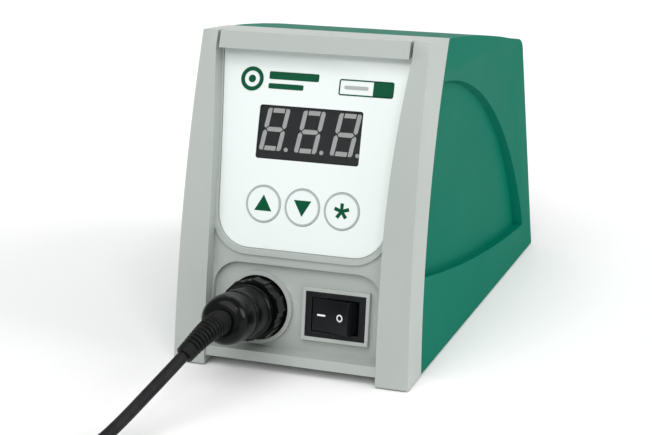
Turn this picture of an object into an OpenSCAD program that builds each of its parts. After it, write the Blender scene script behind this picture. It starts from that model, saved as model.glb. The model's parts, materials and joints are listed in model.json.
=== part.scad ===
// Soldering iron station: a wedge-shaped bench unit with its plug, lead and iron.
// Millimetres, +Z up, front towards -Y, origin on the floor at the middle of the unit.

/* [Body] */
// Width of the front frame where it meets the floor
body_w = 84; // [76:1:110]
// Depth from the foot of the front frame to the back
body_d = 156; // [140:1:200]
// Height of the top edge of the front
body_h = 109; // [104:1:140]
// How far each side leans in between floor and top
side_lean = 2; // [0:0.5:4]
// Fall of the top towards the back, degrees
top_slope = 11.5; // [8:0.5:13]
// Forward lean of the back, degrees
back_lean = 8; // [4:0.5:12]
// Thickness of the moulded walls
wall = 2.4; // [1.8:0.1:3]
// Gap between the lower edges of the housing and the floor
floor_gap = 0.6; // [0.4:0.1:1.5]
// Depth of the scooped relief in the sides
scoop_deep = 2.7; // [2:0.1:4]

/* [Front frame] */
// Radius of the bowed front, seen from the side
front_r = 417; // [350:1:600]
// Lean of the front at the floor, degrees
front_lean = 7.9; // [4:0.1:10]
// Depth of the frame at the floor
frame_depth = 14; // [12:0.5:18]
// Radius of the joint between frame and cover, seen from the side
seam_r = 250; // [220:1:300]
// Lean of that joint at the floor, degrees
seam_lean = 6.4; // [4:0.1:8]
// How far the two upright rails stand proud of the panel
rail_proud = 5; // [3:0.5:7]
// Half the gap between the rails in the lower part
rail_gap = 30.7; // [28:0.1:33]
// Height of the bar across the top of the panel
bar_h = 5.4; // [3:0.1:7]
// Height of the lip under the panel
lip_h = 3.4; // [2:0.1:5]
// Height of the panel label's lower edge
label_z = 39.5; // [37:0.5:42]
// Corner radius of the label
label_r = 11; // [6:0.5:14]
// Height of the top of the arched recess
arch_z = 34.5; // [33:0.5:36]
// Extra depth of the arched recess
arch_deep = 2; // [1:0.1:3]
// Corner radius of the arched recess
arch_r = 9; // [5:0.5:11]

/* [Display and buttons] */
// Width of the three-digit display module
display_w = 37.6; // [34:0.1:44]
// Height of the display module
display_tall = 19; // [16:0.1:23]
// Height of one digit
digit_h = 14.2; // [10:0.1:16]
// Distance between digits
digit_pitch = 12.7; // [11:0.1:14]
// Diameter of the push buttons
button_d = 12.4; // [9:0.1:13]
// Distance between the buttons
button_pitch = 14; // [13.5:0.1:17]
// Travel of the push buttons
button_travel = 0.3; // [0.2:0.05:0.4]

/* [Switch and socket] */
// Distance from the middle to the switch and to the socket
port_x = 14; // [13.5:0.1:16]
// Height of the switch and the socket
port_z = 20.9; // [19:0.1:22]
// Width of the rocker switch's flange
switch_w = 21; // [19:0.1:24]
// Height of the rocker switch's flange
switch_tall = 15; // [13:0.1:18]
// Angle between the rocker's two positions
rocker_throw = 24; // [16:1:26]
// Diameter of the socket's opening in the panel
socket_d = 22; // [20:0.1:24]
// Outer diameter of the plug's coupling ring
ring_d = 20.4; // [19:0.1:21]

/* [Inside and back] */
// Width of the transformer's core
core_w = 54; // [45:1:56]
// Height of the transformer's core
core_h = 47.5; // [40:0.5:55]
// Thickness of the transformer's core
core_t = 28; // [20:1:34]
// Height of the middle of the mains inlet
inlet_z = 27; // [24:1:40]
// Bore of the ground jack
jack_bore = 4; // [3:0.1:4.2]
// Travel of the fuse drawer
fuse_travel = 12; // [8:0.5:14]
// Height of the rubber feet
foot_h = 2.6; // [2:0.1:4]

/* [Iron and lead] */
// Diameter of the lead
lead_d = 3.9; // [3.5:0.1:5]
// Middle radius of the coiled lead
coil_r = 24.2; // [22:0.1:26]
// Diameter of the iron's hand guard
guard_d = 24; // [20:0.5:26]

/* [Hidden] */
$fn = 64;

grey = [0.73, 0.74, 0.72];
green = [0.10, 0.45, 0.36];
black = [0.07, 0.07, 0.08];
steel = [0.72, 0.73, 0.75];
far = 400;              // larger than the whole unit, for cuts
gap = 0.3;              // clearance between neighbouring mouldings
run = 0.05;             // radial clearance of a running fit
skin = 0.3;             // thickness of the panel label

// Centre lines of the bowed front and of the joint behind it, in the side view
front_y = front_r * cos(front_lean);
front_z = -front_r * sin(front_lean);
seam_y = frame_depth + seam_r * cos(seam_lean);
seam_z = -seam_r * sin(seam_lean);
function unit(v) = v / norm(v);
function front_at(z, off = 0) = front_y - sqrt(pow(front_r - off, 2) - pow(z - front_z, 2));
function back_at(z) = body_d - z * tan(back_lean);
function half_w(z) = body_w / 2 - side_lean * z / body_h;
function front_turn(z) = asin((z - front_z) / front_r);

panel_off = rail_proud;                 // the panel lies this deep behind the rails' faces
port_off = rail_proud + arch_deep;
top_z = body_h - bar_h;                 // underside of the top bar
display_z = top_z - 24.9;
button_z = display_z - 23.3;
board_z = (display_z + button_z) / 2;
digit_rise = 1;                         // the digits sit this far above the window's middle
window_w = display_w - 0.8;
window_h = display_tall - 1;
core_y = body_d - 55;                   // middle of the transformer
ear_x = core_w / 2 + 4.4;               // its fixing screws, beside its bracket
foot_x = body_w / 2 - 12;               // feet and their screws
foot_ys = [frame_depth + 14, body_d - 20];
tab_x = 20;                             // tabs of the front frame, with their screws
jack_x = 30;                            // ground jack, beside the mains inlet
catch_x = 24;                           // catches of the control board, and their height from its middle
catch_z = 20;
fuse_w = 24;                            // fuse drawer
fuse_tall = 7.2;
scoop_x = body_w / 2 - 1.2 - scoop_deep; // floor of the scooped relief
plate_z = foot_h;
plate_t = 2;
floor_in = plate_z + plate_t;

// The iron lies in front of the unit, its cord end towards it
iron_at = [26, -104, 8.4];
iron_tilt = asin((guard_d / 2 - iron_at[2]) / 99.5);   // it lies on its collar and its guard
// The plug's middle line, from the panel to the end of its cap
plug_long = 31.1;
port_turn = front_turn(port_z);
plug_out = [0, -cos(port_turn), sin(port_turn)];
port_at = [-port_x, front_y, front_z] + (front_r - port_off) * [0, -cos(port_turn), sin(port_turn)];
plug_end = port_at + plug_long * plug_out;
// The coil: its middle, half the width of its bundle, and the middle line of its outermost turn
coil_at = [-28, -135, 0];
coil_half = 2.12 * lead_d;
turn_r = coil_r + coil_half - lead_d / 2;
// Route of the lead from the plug's boot to the coil, then from the coil to the iron
lay = lead_d / 2;                       // height of the middle line where the lead lies on the floor
lead_route = [[-18, -39, 21], [-21.2, -47, 16.6], [-24.4, -55, 12.3], [-27.5, -63, 8.1],
    [-30.7, -71, lay + 2.5], [-33.9, -79, lay + 0.5], [-37.6, -87, lay], [-41.8, -95, lay], [-46.6, -104, lay],
    [-51.4, -113, lay], [-55.6, -122, lay], [-58, -130, lay]];
tail_x = coil_at[0] + turn_r;
tail_route = [[tail_x, -134, lay + lead_d], [tail_x, -126, lay + 3], [tail_x, -118, lay + 1.5],
    [tail_x, -110, lay + 0.3], [tail_x, -102, lay], [tail_x, -92, lay], [tail_x, -82, lay], [tail_x, -75, lay],
    [4.2, -68, lay], [8.4, -63, lay], [14.3, -61, lay], [20.1, -63, lay + 0.3], [24.6, -68, 3.8], [26, -74, 6],
    [26, -80, 7.5]];
// The boot leaves the plug straight and then bends down to the lead
boot_steps = 7;
boot_bend = [plug_end + 1.5 * plug_out, plug_end + 8 * plug_out,
    lead_route[0] + 7 * unit(lead_route[0] - lead_route[1]), lead_route[0]];
boot_route = concat([plug_end], [for (i = [0 : boot_steps]) let (t = i / boot_steps, u = 1 - t)
    u * u * u * boot_bend[0] + 3 * t * u * u * boot_bend[1] + 3 * t * t * u * boot_bend[2]
    + t * t * t * boot_bend[3]]);

// ---------- helpers ----------
function heading(p, i) = unit(p[min(i + 1, len(p) - 1)] - p[max(i - 1, 0)]);
function ring_points(p, i, r, n) =
    let (t = heading(p, i), s = unit(cross(t, [0, 0, 1])), u = cross(s, t))
    [for (k = [0 : n - 1]) p[i] + r * (cos(360 * (k + 0.5) / n) * s + sin(360 * (k + 0.5) / n) * u)];

// A tube of radius r[i] at each point of a route
module swept(p, r, n = 8) {
    m = len(p);
    polyhedron(
        points = [for (i = [0 : m - 1]) each ring_points(p, i, r[i], n)],
        faces = concat(
            [[for (k = [n - 1 : -1 : 0]) k]],
            [for (i = [0 : m - 2], k = [0 : n - 1])
                [i * n + k, i * n + (k + 1) % n, (i + 1) * n + (k + 1) % n, (i + 1) * n + k]],
            [[for (k = [0 : n - 1]) (m - 1) * n + k]]));
}

module centred(size, at = [0, 0, 0]) translate(at) cube(size, center = true);
module from_floor(size, at) translate([at[0] - size[0] / 2, at[1] - size[1] / 2, at[2]]) cube(size);
module x_cylinder(r, y, z) translate([-far / 2, y, z]) rotate([0, 90, 0]) cylinder(r = r, h = far);
module behind_front(off) x_cylinder(front_r - off, front_y, front_z);
module behind_seam(off) x_cylinder(seam_r - off, seam_y, seam_z);
// The unit's own modules measure y from the foot of the front frame
module unit_frame() translate([0, -body_d / 2, 0]) children();
// Local frame on the front: x across, y into the unit, z up along the bowed surface
module on_front(z, off, x = 0)
    translate([x, front_y, front_z]) rotate([-front_turn(z), 0, 0])
        translate([0, off - front_r, 0]) children();
// Local frame on the back: x across, y out of the unit, z up along the leaning back
module on_back(z, x = 0) translate([x, back_at(z), z]) rotate([back_lean, 0, 0]) children();
// Local frame along the iron: z runs from its cord end to its tip
module on_iron() unit_frame() translate(iron_at) rotate([90 - iron_tilt, 0, 0]) children();
// A cylinder from y0 to y1 along local y
module y_cylinder(r, y0, y1) translate([0, y0, 0]) rotate([-90, 0, 0]) cylinder(r = r, h = y1 - y0);
module y_ring(r_out, r_in, y0, y1) difference() {
    y_cylinder(r_out, y0, y1);
    y_cylinder(r_in, y0 - 1, y1 + 1);
}
// A front-view outline pushed through the unit from front to back
module front_outline(points) translate([0, 120, 0]) rotate([90, 0, 0])
    linear_extrude(height = 140) polygon(points);

// Corner points of a circle's arc
function arc(x, z, r, a0, a1, n = 6) =
    [for (i = [0 : n]) let (a = a0 + (a1 - a0) * i / n) [x + r * cos(a), z + r * sin(a)]];

ridge_y = front_at(body_h);
// The top is bowed along its length: it rises by top_crown over a straight line down to the back
top_crown = 2.4;
top_long = back_at(body_h - 24) - ridge_y;
function top_at(t) = body_h - t * top_long * tan(top_slope) + 4 * top_crown * t * (1 - t);
top_steps = [for (i = [6 : -1 : 0]) i / 7];
corner_z = body_h - top_long * tan(top_slope) - 3.4;    // where the back starts to turn into the top
corner_steps = [[0, 0], [1.6, 0.35], [3, 1.2], [4.1, 2.5], [5, 4.3], [5.7, 7]];

// Outer form of the unit, made smaller all round by inset
module shell_form(inset) {
    w0 = half_w(-80) - inset;
    w1 = half_w(body_h + 30) - inset;
    intersection() {
        translate([0, 260, 0]) rotate([90, 0, 0]) linear_extrude(height = 340)
            polygon([[-w0, -80], [w0, -80], [w1, body_h + 30], [-w1, body_h + 30]]);
        translate([-far / 2, 0, 0]) rotate([90, 0, 90]) linear_extrude(height = far)
            polygon(concat([[-30, floor_gap], [back_at(floor_gap) - inset, floor_gap]],
                [for (s = corner_steps)
                    [back_at(corner_z - inset) - inset - s[1], corner_z - inset + s[0]]],
                [for (t = top_steps) [ridge_y + t * top_long, top_at(t) - inset]],
                [[-30, body_h + 14 - inset]]));
    }
}

// Half the gap between the rails at height z; it widens towards the top
function rail_x(z) = rail_gap + pow(max(0, z - 40), 2) / 1020;
rail_steps = [for (i = [0 : 10]) 40 + (top_z - 40) * i / 10];
rail_opening = concat([[rail_gap, -5]], [for (z = rail_steps) [rail_x(z), z]],
    [for (i = [10 : -1 : 0]) [-rail_x(rail_steps[i]), rail_steps[i]]], [[-rail_gap, -5]]);

// The label's outline, grown by more; its lower corners are round
function label_outline(more) =
    let (r = label_r + more, x = rail_gap - 0.8 + more, z0 = label_z - more,
        up = [for (z = rail_steps) if (z > label_z + label_r + 2) z])
    concat(arc(x - r, z0 + r, r, -90, 0, 8),
        [for (z = up) [rail_x(z) - 0.8 + more, z]],
        [for (i = [len(up) - 1 : -1 : 0]) [-rail_x(up[i]) + 0.8 - more, up[i]]],
        arc(-x + r, z0 + r, r, 180, 270, 8));

arch_outline = let (x = rail_gap - 0.4, z0 = floor_in + lip_h - 1.2)
    concat([[-x, z0], [x, z0]], arc(x - arch_r, arch_z - arch_r, arch_r, 0, 90, 8),
        arc(-x + arch_r, arch_z - arch_r, arch_r, 90, 180, 8));

// ---------- housing ----------
// Grey moulded frame with two rails, top bar, panel, arched recess and lower lip
module front_frame() {
    lip_z0 = floor_in - 1.2;            // underside of the lip
    color(grey) unit_frame() difference() {
        union() {
            difference() {
                intersection() {
                    shell_form(0);
                    behind_front(0);
                }
                behind_seam(0);
                // space between the rails down to the panel
                difference() {
                    front_outline(rail_opening);
                    behind_front(panel_off);
                }
                // hollow inside
                difference() {
                    intersection() {
                        shell_form(wall);
                        union() {
                            difference() {
                                behind_front(panel_off + skin * 2 + wall);
                                from_floor([far, far, label_z - 2 + far], [0, 0, label_z - 2 - far]);
                            }
                            behind_front(port_off + wall);
                        }
                    }
                    from_floor([far, far, far], [0, 0, lip_z0 + wall - far]);
                }
                // open gap under the lip
                from_floor([2 * rail_gap, 60, 20], [0, 20, lip_z0 - 20]);
            }
            // bead round the label
            intersection() {
                difference() {
                    behind_front(panel_off - 0.8);
                    behind_front(panel_off + 1);
                }
                difference() {
                    front_outline(label_outline(2));
                    front_outline(label_outline(0.2));
                    from_floor([far, far, far], [0, 0, label_z + 22]);
                }
            }
            // lip along the bottom
            intersection() {
                difference() {
                    behind_front(0.8);
                    behind_front(port_off + 1);
                }
                from_floor([2 * rail_gap + 2, 40, lip_h], [0, 10, lip_z0]);
            }
            // catches that hold the control board
            for (x = [-1, 1], z = [-1, 1])
                on_front(board_z, panel_off, x * catch_x) translate([0, 0, z * catch_z]) y_cylinder(2.6, 1.6, 8.6);
            // tabs that lie on the base plate
            for (x = [-1, 1]) from_floor([9, 16, 2.4], [x * tab_x, frame_depth + 3, floor_in]);
            // tongue along the top that locates the cover, with its root on the frame's inner wall
            intersection() {
                difference() {
                    union() {
                        intersection() {
                            shell_form(wall - 0.2);
                            difference() {
                                behind_seam(-3);
                                behind_seam(0);
                            }
                        }
                        intersection() {
                            shell_form(wall + gap);
                            behind_seam(-1);
                        }
                    }
                    shell_form(wall + gap + 1.4);
                    behind_seam(3);
                }
                from_floor([2 * scoop_x - 14, far, far], [0, 0, body_h - 30]);
            }
        }
        // seat of the label
        difference() {
            front_outline(label_outline(0.2));
            behind_front(panel_off + 2 * skin);
            from_floor([far, far, far], [0, 0, top_z + 0.4]);
        }
        // arched recess
        difference() {
            front_outline(arch_outline);
            behind_front(port_off);
            from_floor([far, far, lip_h + far], [0, 0, lip_z0 - far]);
        }
        // notches at the ends of the top bar
        for (x = [-1, 1]) difference() {
            from_floor([1.1, 60, bar_h + 6], [x * (rail_x(top_z) - 0.55), 30, top_z - 1]);
            behind_front(3.5);
        }
        // display window
        on_front(display_z, panel_off) centred([display_w + 0.6, 12, display_tall + 0.6], [0, 2, 0]);
        // button holes
        for (i = [-1 : 1]) on_front(button_z, panel_off, i * button_pitch) y_cylinder(button_d / 2 + 0.35, -2, 5);
        // holes for the socket and the switch
        on_front(port_z, port_off, -port_x) y_cylinder(socket_d / 2, -4, wall + 3);
        on_front(port_z, port_off, port_x) centred([switch_w - 1.8, 12, switch_tall - 2], [0, 2, 0]);
        // screw holes in the tabs
        for (x = [-1, 1]) translate([x * tab_x, frame_depth + 7, 0]) cylinder(r = 1.25, h = 12);
    }
    color(grey) unit_frame() {
        // raised collar round the socket
        on_front(port_z, port_off, -port_x) y_ring(socket_d / 2 + 1.3, socket_d / 2, -1.8, 0.4);
        // raised frame round the switch
        on_front(port_z, port_off, port_x) difference() {
            centred([switch_w + 2.6, 2.2, switch_tall + 2.8], [0, -0.7, 0]);
            centred([switch_w + 0.3, 6, switch_tall + 0.3], [0, -0.7, 0]);
        }
    }
}

// Scooped relief in the cover's sides: round above and behind, stepped below
module side_scoop(side) {
    reach = body_d - 41;                // radius of the round edge
    mirror([side < 0 ? 1 : 0, 0, 0]) intersection() {
        translate([scoop_x, frame_depth + 17.3, -22.5]) rotate([0, 90, 0])
            cylinder(r1 = reach, r2 = reach + 2, h = scoop_deep + 2);
        // the ledge below falls towards the back and flattens out
        translate([scoop_x - 1, body_d + 38.6, 705.5]) rotate([0, 90, 0])
            cylinder(r = 695, h = scoop_deep + 4);
    }
}

// Green moulded cover: top, both sides and back
module rear_cover() {
    color(green) unit_frame() difference() {
        union() {
            difference() {
                intersection() {
                    shell_form(0.15);
                    behind_seam(gap);
                }
                shell_form(wall + 0.15);
                from_floor([body_w - 2 * wall - 2, body_d - 2 * wall, 20], [0, body_d / 2, floor_in - 20]);
            }
            // walls behind the scooped relief
            for (s = [-1, 1]) intersection() {
                shell_form(0.15);
                behind_seam(gap);
                from_floor([scoop_deep + 3, body_d, body_h],
                    [s * (scoop_x - 1.8 + (scoop_deep + 3) / 2), body_d / 2, floor_in + 0.8]);
            }
            // bosses for the foot screws
            for (x = [-1, 1], y = foot_ys) {
                from_floor([9, 4, 14], [x * (body_w / 2 - 7.5), y, floor_in + 0.1]);
                translate([x * foot_x, y, floor_in + 0.1]) cylinder(r = 3.4, h = 14);
            }
        }
        for (s = [-1, 1]) side_scoop(s);
        for (x = [-1, 1], y = foot_ys)
            translate([x * foot_x, y, floor_in - 1]) cylinder(r = 1.25, h = 12);
        // openings at the back
        on_back(inlet_z) centred([28, 12, 31], [0, 0, 0]);
        for (x = [-20, 20]) on_back(inlet_z, x) y_cylinder(1.25, -8, 4);
        on_back(inlet_z - 6, jack_x) y_cylinder(3.1, -8, 4);
        // cooling slots
        for (i = [0 : 5]) on_back(52 + 4.6 * i) centred([42, 12, 2.2]);
    }
}

// Steel plate that closes the bottom
module base_plate() {
    front = frame_depth + 3;
    back = body_d - wall - 1.6;
    color(steel) unit_frame() difference() {
        union() {
            from_floor([body_w - 2 * wall - 1.6, back - front, plate_t], [0, (front + back) / 2, plate_z]);
            from_floor([2 * rail_gap - 12, 5, plate_t], [0, front + 0.5, plate_z]);
        }
        for (x = [-1, 1], y = foot_ys)
            translate([x * foot_x, y, 0]) cylinder(r = 1.6, h = 9);
        for (x = [-1, 1]) translate([x * tab_x, frame_depth + 7, 0]) cylinder(r = 1.6, h = 9);
        for (x = [-1, 1]) translate([x * ear_x, core_y, 0]) cylinder(r = 1.7, h = 9);
        for (i = [0 : 4]) from_floor([26, 2.4, 9], [0, frame_depth + 32 + 6 * i, 0]);
    }
}

module rubber_feet() {
    color(black) unit_frame() for (x = [-1, 1], y = foot_ys)
        translate([x * foot_x, y, 0]) difference() {
            cylinder(r = 6.5, h = foot_h);
            translate([0, 0, -1]) cylinder(r = 3.1, h = foot_h + 2);
        }
}

// Pan-head screw pointing up, its head from z = 0 to head
module screw_up(r, head, head_r, length) {
    cylinder(r = head_r, h = head);
    translate([0, 0, head]) cylinder(r = r, h = length);
}

module foot_screws() {
    color(steel) unit_frame() for (x = [-1, 1], y = foot_ys)
        translate([x * foot_x, y, plate_z - 1.5]) screw_up(1.24, 1.5, 3, 11);
}

module frame_screws() {
    color(steel) unit_frame() for (x = [-1, 1])
        translate([x * tab_x, frame_depth + 7, plate_z - 1.4]) screw_up(1.24, 1.4, 2.6, 5.5);
}

// ---------- front panel ----------
// Printed membrane over the panel, with the display's window and the buttons' holes
module panel_label() {
    color("white") unit_frame() difference() {
        intersection() {
            front_outline(label_outline(0));
            behind_front(panel_off + skin);
            from_floor([far, far, far], [0, 0, top_z - far]);
        }
        behind_front(panel_off + 2 * skin);
        on_front(display_z, panel_off) rotate([90, 0, 0]) linear_extrude(height = 12, center = true)
            offset(r = 0.9) square([window_w - 1.8, window_h - 1.8], center = true);
        for (i = [-1 : 1]) on_front(button_z, panel_off, i * button_pitch) y_cylinder(button_d / 2 + 0.15, -4, 4);
    }
}

// Smoked window behind the label
module display_lens() {
    color([0.05, 0.05, 0.06, 0.6]) unit_frame() on_front(display_z, panel_off)
        centred([display_w, 0.4, display_tall], [0, 0.96, 0]);
}

module display_module() {
    color(black) unit_frame() on_front(display_z, panel_off) difference() {
        centred([display_w, 6.5, display_tall], [0, 4.45, 0]);
        for (i = [-1 : 1]) translate([i * digit_pitch, 0, digit_rise]) digit(0.9, 1.6, 0.02);
    }
}

// The seven bars and the dot of one digit, between depths y0 and y1
module digit(y0, y1, grow) {
    bar = 1.5;
    side_x = 3.2;                       // middle of the side bars
    deep = y1 - y0;
    mid = (y0 + y1) / 2;
    top_bar = 2 * side_x - bar - 0.6;
    side_bar = digit_h / 2 - bar / 2 - 0.5;
    multmatrix([[1, 0, tan(9), 0], [0, 1, 0, 0], [0, 0, 1, 0]]) {
        for (z = [-1, 0, 1])
            centred([top_bar + 2 * grow, deep, bar + 2 * grow], [0, mid, z * (digit_h - bar) / 2]);
        for (x = [-1, 1], z = [-1, 1])
            centred([bar + 2 * grow, deep, side_bar + 2 * grow], [x * side_x, mid, z * (digit_h / 4 - 0.1)]);
    }
    translate([4.7, 0, -digit_h / 2 + 0.6]) y_cylinder(0.75 + grow, y0, y1);
}

module display_segments() {
    color([0.7, 0.7, 0.68]) unit_frame() on_front(display_z, panel_off)
        for (i = [-1 : 1]) translate([i * digit_pitch, 0, digit_rise]) digit(1.22, 1.6, 0);
}

module control_board() {
    color([0.05, 0.3, 0.15]) unit_frame() on_front(board_z, panel_off) difference() {
        centred([56, 1.6, 58], [0, 9.4, 1]);
        for (x = [-1, 1], z = [-1, 1]) translate([x * catch_x, 0, z * catch_z]) y_cylinder(1.3, 5, 14);
    }
}

// Push-in clips through the board's corners into the frame's catches
module board_clips() {
    color("ivory") unit_frame() for (x = [-1, 1], z = [-1, 1])
        on_front(board_z, panel_off, x * catch_x) translate([0, 0, z * catch_z]) {
            y_cylinder(1.25, 8.6, 10.2);
            y_cylinder(2.6, 10.2, 11.2);
        }
}

module key_switches() {
    color(black) unit_frame() for (i = [-1 : 1])
        on_front(board_z, panel_off, i * button_pitch) translate([0, 0, button_z - board_z]) {
            centred([6, 3.4, 6], [0, 6.9, 0]);
            y_cylinder(1.7, 4.6, 5.2);
        }
}

// One push button of the membrane: a disc with a stem behind it
module push_button(i) {
    color("white") unit_frame() on_front(button_z, panel_off, i * button_pitch) {
        y_cylinder(button_d / 2, skin - 0.15, 1.2);
        y_cylinder(1.6, 1.2, 3.7);
    }
}
module button_up() push_button(-1);
module button_down() push_button(0);
module button_set() push_button(1);

// ---------- power switch ----------
module on_switch() unit_frame() on_front(port_z, port_off, port_x) children();
rocker_half = switch_w / 2 - 2.2;       // half the opening for the rocker
rocker_tall = switch_tall - 4;
pivot_y = 3;

module switch_housing() {
    color(black) on_switch() difference() {
        union() {
            centred([switch_w, 2, switch_tall], [0, -1, 0]);
            centred([switch_w - 2.2, 14, switch_tall - 2.3], [0, 7, 0]);
        }
        centred([2 * rocker_half, 14, rocker_tall + 0.5], [0, 3, 0]);
        translate([0, pivot_y, 0]) cylinder(r = 1.2 + run, h = switch_tall - 2.6, center = true);
    }
}

// Rocker with a slightly hollow face, turned so that its left end is pressed in
module switch_rocker() {
    half = rocker_half - 1.4;
    color(black) on_switch() translate([0, pivot_y, 0]) rotate([0, 0, -rocker_throw / 2]) {
        translate([0, 0, -rocker_tall / 2]) linear_extrude(height = rocker_tall)
            polygon([[-half, -6.4], [-half * 0.5, -5.9], [0, -5.6], [half * 0.5, -5.9], [half, -6.4],
                [half + 1.0, -1], [half + 0.4, 2], [3, 3.6], [-3, 3.6], [-half - 0.4, 2], [-half - 1.0, -1]]);
        cylinder(r = 1.2, h = switch_tall - 2.8, center = true);
    }
}

module switch_blades() {
    color("silver") on_switch() for (x = [-1, 0, 1]) centred([0.8, 9, 4.8], [x * 6.2, 18.5, 0]);
}

// ---------- iron's socket and plug ----------
bow = 0.3;                              // room for the panel's bow behind a flat flange
module on_socket() unit_frame() on_front(port_z, port_off, -port_x) children();

module socket_shell() {
    color(black) on_socket() {
        y_ring(socket_d / 2 - 0.1, 7.4, 0.4, wall + bow);
        y_ring(socket_d / 2 + 1.4, 7.4, wall + bow, wall + bow + 1.6);
        y_ring(8.4, 7.4, -6, 0.4);
        y_ring(9.4, 7.4, wall + bow + 1.6, 15);
    }
}
module socket_insert() {
    color([0.15, 0.15, 0.16]) on_socket() difference() {
        y_cylinder(7.35, 0.2, 12);
        contact_pattern(0.62, 0, 13);
    }
}
module contact_pattern(r, y0, y1) {
    for (a = [0 : 72 : 359]) rotate([0, a, 0]) translate([4.2, 0, 0]) y_cylinder(r, y0, y1);
}
module socket_pins() color("gold") on_socket() contact_pattern(0.6, -3.5, 16);
module socket_nut() {
    color(steel) on_socket() difference() {
        translate([0, wall + bow + 1.65, 0]) rotate([-90, 0, 0]) cylinder(r = 11.6, h = 3, $fn = 6);
        y_cylinder(9.45, 0, 12);
    }
}

// Bayonet ring of the plug, with finger notches
module coupling_ring() {
    color(black) on_socket() difference() {
        union() {
            y_cylinder(ring_d / 2, -8.6, -0.4);
            for (a = [15 : 60 : 359]) rotate([0, a, 0]) centred([5, 6.4, 0.8], [0, -5, ring_d / 2 - 0.25]);
        }
        y_cylinder(8.4 + run, -6.3, 1);
        y_cylinder(7.8 + run, -10, 1);
        for (a = [45 : 60 : 359]) rotate([0, a, 0]) translate([0, 0, ring_d / 2 + 1.6]) y_cylinder(2, -10, -3);
    }
}

module plug_shell() {
    color(black) on_socket() difference() {
        rotate([90, 0, 0]) rotate_extrude()
            polygon(concat([[0, 6.5], [7.8, 6.5], [7.8, 9], [9.1, 9], [9.1, 11.6], [8.6, 12.2], [8.6, 20.4],
                [8.2, 21], [8.3, 21.6]], arc(5.1, plug_long - 3.2, 3.2, 0, 90, 6), [[0, plug_long]]));
        y_cylinder(7.3, -18, 0);
        y_cylinder(3.2, -32, 0);
    }
}
module plug_insert() {
    color([0.15, 0.15, 0.16]) on_socket() difference() {
        y_cylinder(7.28, -17, 0.1);
        contact_pattern(0.62, -4, 1);
    }
}

// Bent, tapered sleeve where the lead leaves the plug
module plug_boot() {
    color(black) unit_frame() swept(boot_route, [4.4, for (i = [0 : boot_steps]) 4.3 - 1.2 * i / boot_steps], 16);
}

// ---------- lead ----------
module lead_tube() color(black) unit_frame() swept(lead_route, [for (p = lead_route) lead_d / 2]);
module lead_tail() color(black) unit_frame() swept(tail_route, [for (p = tail_route) lead_d / 2]);
module lead_coil() color(black) unit_frame() translate(coil_at) rotate_extrude()
    polygon([[coil_r - coil_half, 1], [coil_r - coil_half + 1, 0], [coil_r + coil_half - 1, 0],
        [coil_r + coil_half, 1], [coil_r + coil_half, 2 * lead_d - 1], [coil_r + coil_half - 1, 2 * lead_d],
        [coil_r - coil_half + 1, 2 * lead_d], [coil_r - coil_half, 2 * lead_d - 1]]);
// Strap round one side of the coil
module lead_tie() {
    color([0.2, 0.2, 0.2]) unit_frame() translate(coil_at + [0, -coil_r, lead_d]) difference() {
        centred([6, 2 * coil_half + 2, 2 * lead_d], [0, 0, 0.9]);
        centred([8, 2 * coil_half + 0.2, 2 * lead_d + 0.8], [0, 0, -0.9]);
    }
}

// ---------- iron ----------
// A turned part of the iron: outline points are [radius, distance from the cord end]
module turned(points) on_iron() rotate_extrude() polygon(points);

module iron_boot() {
    color(black) turned([[0, -24], [3.1, -24], [3.3, -22], [4.6, -4], [6.2, -2], [6.2, 0], [0, 0]]);
}
module iron_handle() {
    color([0.12, 0.14, 0.14]) difference() {
        turned([[6.3, -2], [7.6, -2], [8.4, 0], [8.5, 8], [8.1, 30], [8.1, 58], [8.1, 98], [guard_d / 2 - 1, 98],
            [guard_d / 2, 99.5], [guard_d / 2, 103.5], [guard_d / 2 - 1, 105], [4.8, 105], [4.8, 20], [6.3, 12]]);
    }
}
module iron_grip() {
    color(green) turned(concat([[8.15, 60]], arc(8.6, 61.6, 1.6, -90, 0), arc(8.6, 95.4, 1.6, 0, 90), [[8.15, 97]]));
}
module iron_collar() {
    color(steel) turned([[4.75, 105.1], [8, 105.1], [8.4, 106], [8.4, 113], [7.2, 115], [6.4, 122], [5.8, 123],
        [4.75, 123]]);
}
module iron_sleeve() {
    color(steel) turned([[3.9, 90], [4.7, 90], [4.7, 150], [4.2, 152], [3.9, 152]]);
}
module iron_heater() color("ivory") on_iron() translate([0, 0, 70]) cylinder(r = 2, h = 88);
module iron_tip() {
    color([0.75, 0.6, 0.4]) turned(concat([[2.05, 128], [3.8, 128], [3.8, 152.1], [4.2, 152.1], [4.2, 154], [3.4, 156],
        [3.4, 164], [0.5, 184.6]], [[0, 185], [0, 162], [2.05, 160]]));
}

// ---------- inside ----------
core_z = floor_in + 1.4;                // underside of the core, on the bracket's feet
module transformer_core() {
    leg = core_w / 6;
    color([0.3, 0.3, 0.32]) unit_frame() difference() {
        from_floor([core_w, core_t, core_h], [0, core_y, core_z]);
        for (x = [-1, 1]) from_floor([leg, core_t + 2, core_h - 2 * leg], [x * 1.5 * leg, core_y, core_z + leg]);
    }
}
module transformer_winding() {
    leg = core_w / 6;
    color([0.75, 0.55, 0.2]) unit_frame() difference() {
        from_floor([4 * leg - 0.3, core_t + 16, core_h - 2 * leg - 0.4], [0, core_y, core_z + leg + 0.2]);
        from_floor([2 * leg + 0.2, core_t + 0.2, core_h], [0, core_y, core_z]);
    }
}
module transformer_frame() {
    t = 1.2;
    color(steel) unit_frame() difference() {
        union() {
            from_floor([core_w + 2 * t + 0.2, core_t - 8, core_h + t + 1.4 + 0.1], [0, core_y, floor_in]);
            from_floor([2 * ear_x + 7, core_t - 8, t], [0, core_y, floor_in]);
        }
        from_floor([core_w + 0.2, core_t, core_h + 1.5], [0, core_y, floor_in - 0.001]);
        for (x = [-1, 1]) translate([x * ear_x, core_y, 0]) cylinder(r = 1.7, h = 19);
    }
}
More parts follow.
